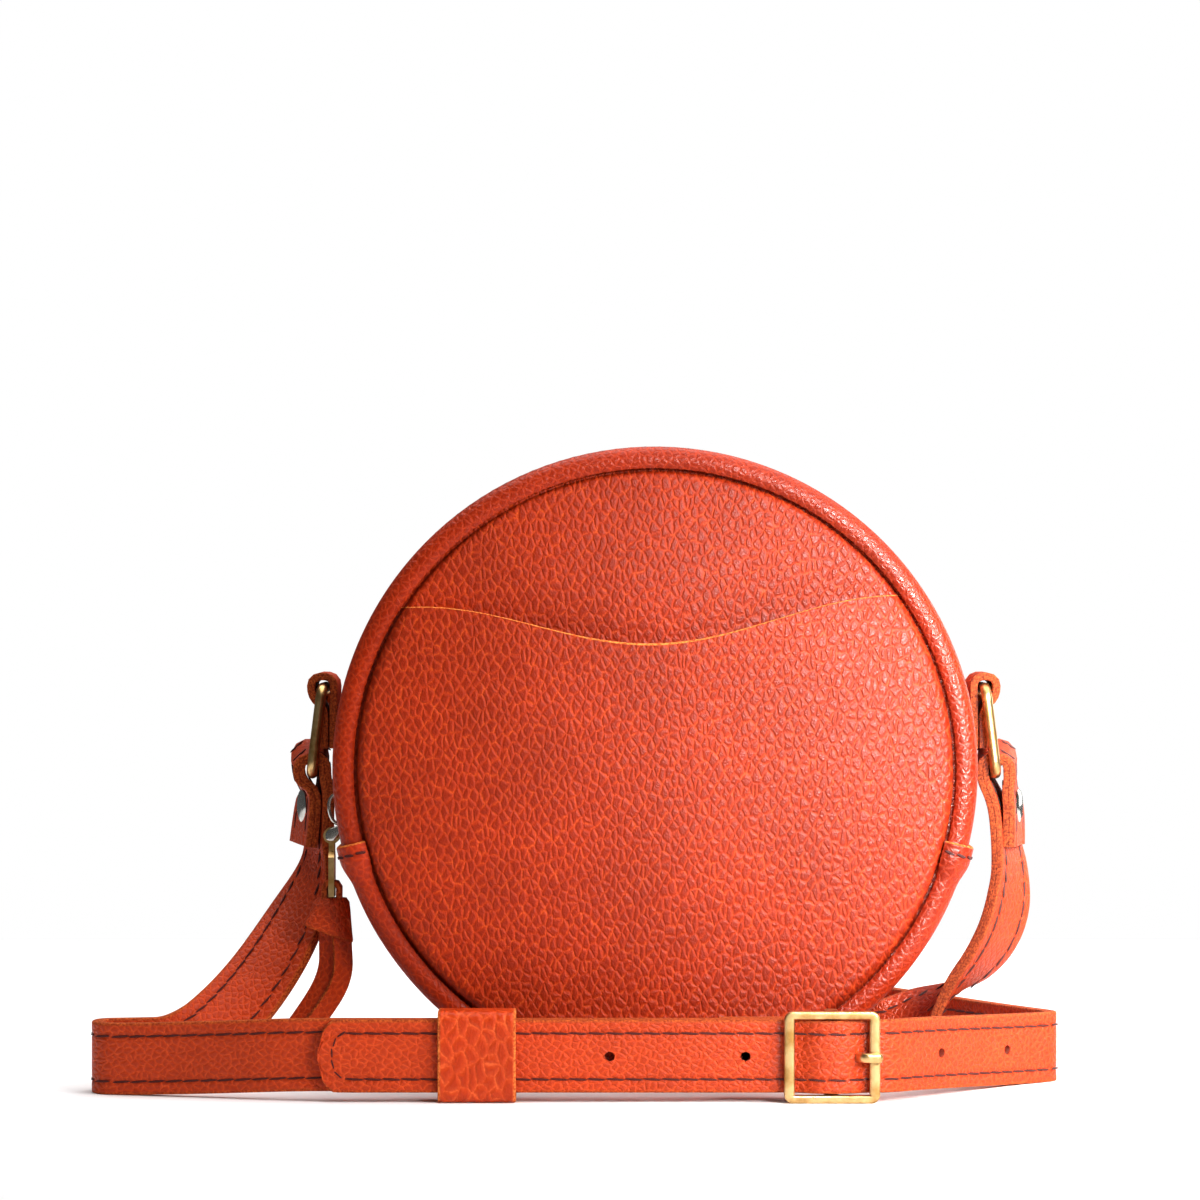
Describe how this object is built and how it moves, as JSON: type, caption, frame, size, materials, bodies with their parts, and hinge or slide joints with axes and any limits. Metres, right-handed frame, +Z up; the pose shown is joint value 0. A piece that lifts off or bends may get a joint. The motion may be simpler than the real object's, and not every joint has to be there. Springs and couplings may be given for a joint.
{
  "type": "round crossbody bag",
  "caption": "Round leather crossbody bag with a zip over the top, a scooped front slip pocket and an adjustable buckled strap on side rings.",
  "frame": {"origin": "middle of the flat under the lower gusset, on which the bag stands", "axes": "+X to the bag's right as seen from the pocket side, +Y from the pocket side to the back, +Z up"},
  "size_m": [0.2648, 0.1421, 0.177],
  "materials": {
    "shell_leather": "pebbled pull-up leather, satin",
    "strap_leather": "fine pebbled leather, satin, raw edges",
    "zip_tape": "woven tape",
    "antique_brass": "antique brass, satin",
    "nickel": "polished nickel"
  },
  "bodies": {
    "bag": {"front_panel": "shell_leather", "back_panel": "shell_leather", "front_pocket": "shell_leather", "lower_gusset": "shell_leather", "zip_gusset_back": "shell_leather", "zip_tape_back": "zip_tape", "zip_teeth_back": "antique_brass", "zip_stops": "antique_brass", "left_tab": "strap_leather", "right_tab": "strap_leather", "strap_buckle_part": "strap_leather", "strap_holed_part": "strap_leather", "buckle_frame": "antique_brass", "buckle_rivet": "nickel"},
    "mouth": {"zip_gusset_front": "shell_leather", "zip_tape_front": "zip_tape", "zip_teeth_front": "antique_brass"},
    "slider": {"zip_slider": "nickel"},
    "puller": {"zip_puller": "antique_brass"},
    "lace": {"pull_lace": "strap_leather"},
    "left_ring": {"left_ring": "antique_brass", "left_strap_rivet": "nickel"},
    "right_ring": {"right_ring": "antique_brass", "right_strap_rivet": "nickel"},
    "prong": {"buckle_prong": "antique_brass"},
    "keeper": {"strap_keeper": "strap_leather"}
  },
  "joints": [
    {"name": "zip_travel", "type": "hinge", "parent": "bag", "child": "slider", "pos_m": [0, -0.009, 0.0882], "axis": [0, 1, 0], "range_deg": [0, 196], "deforming": ["zip_teeth_front", "zip_teeth_back", "zip_tape_front"]},
    {"name": "mouth_open", "type": "hinge", "parent": "bag", "child": "mouth", "pos_m": [0, -0.03, 0.0683], "axis": [1, 0, 0], "range_deg": [0, 22], "deforming": ["front_panel", "front_pocket"]},
    {"name": "puller_swing", "type": "hinge", "parent": "slider", "child": "puller", "pos_m": [-0.08997, -0.009, 0.06909], "axis": [0, 1, 0], "range_deg": [0, 110]},
    {"name": "lace_swing", "type": "hinge", "parent": "puller", "child": "lace", "pos_m": [-0.08997, -0.009, 0.05379], "axis": [0, 1, 0], "range_deg": [-8, 6], "deforming": ["pull_lace"]},
    {"name": "left_ring_swing", "type": "hinge", "parent": "bag", "child": "left_ring", "pos_m": [-0.0933, 0.011, 0.11], "axis": [0, 1, 0], "range_deg": [0, 40], "deforming": ["strap_buckle_part"]},
    {"name": "right_ring_swing", "type": "hinge", "parent": "bag", "child": "right_ring", "pos_m": [0.0933, 0.011, 0.11], "axis": [0, -1, 0], "range_deg": [0, 40], "deforming": ["strap_holed_part"]},
    {"name": "prong_lift", "type": "hinge", "parent": "bag", "child": "prong", "pos_m": [0.047, -0.0513, 0.01235], "axis": [0, 0, -1], "range_deg": [0, 10]},
    {"name": "keeper_slide", "type": "slide", "parent": "bag", "child": "keeper", "axis": [1, 0, 0], "range_m": [-0.02, 0.048]}
  ],
  "couplings": [
    {"joint": "mouth_open", "follows": "zip_travel", "ratio": 0.1122}
  ]
}
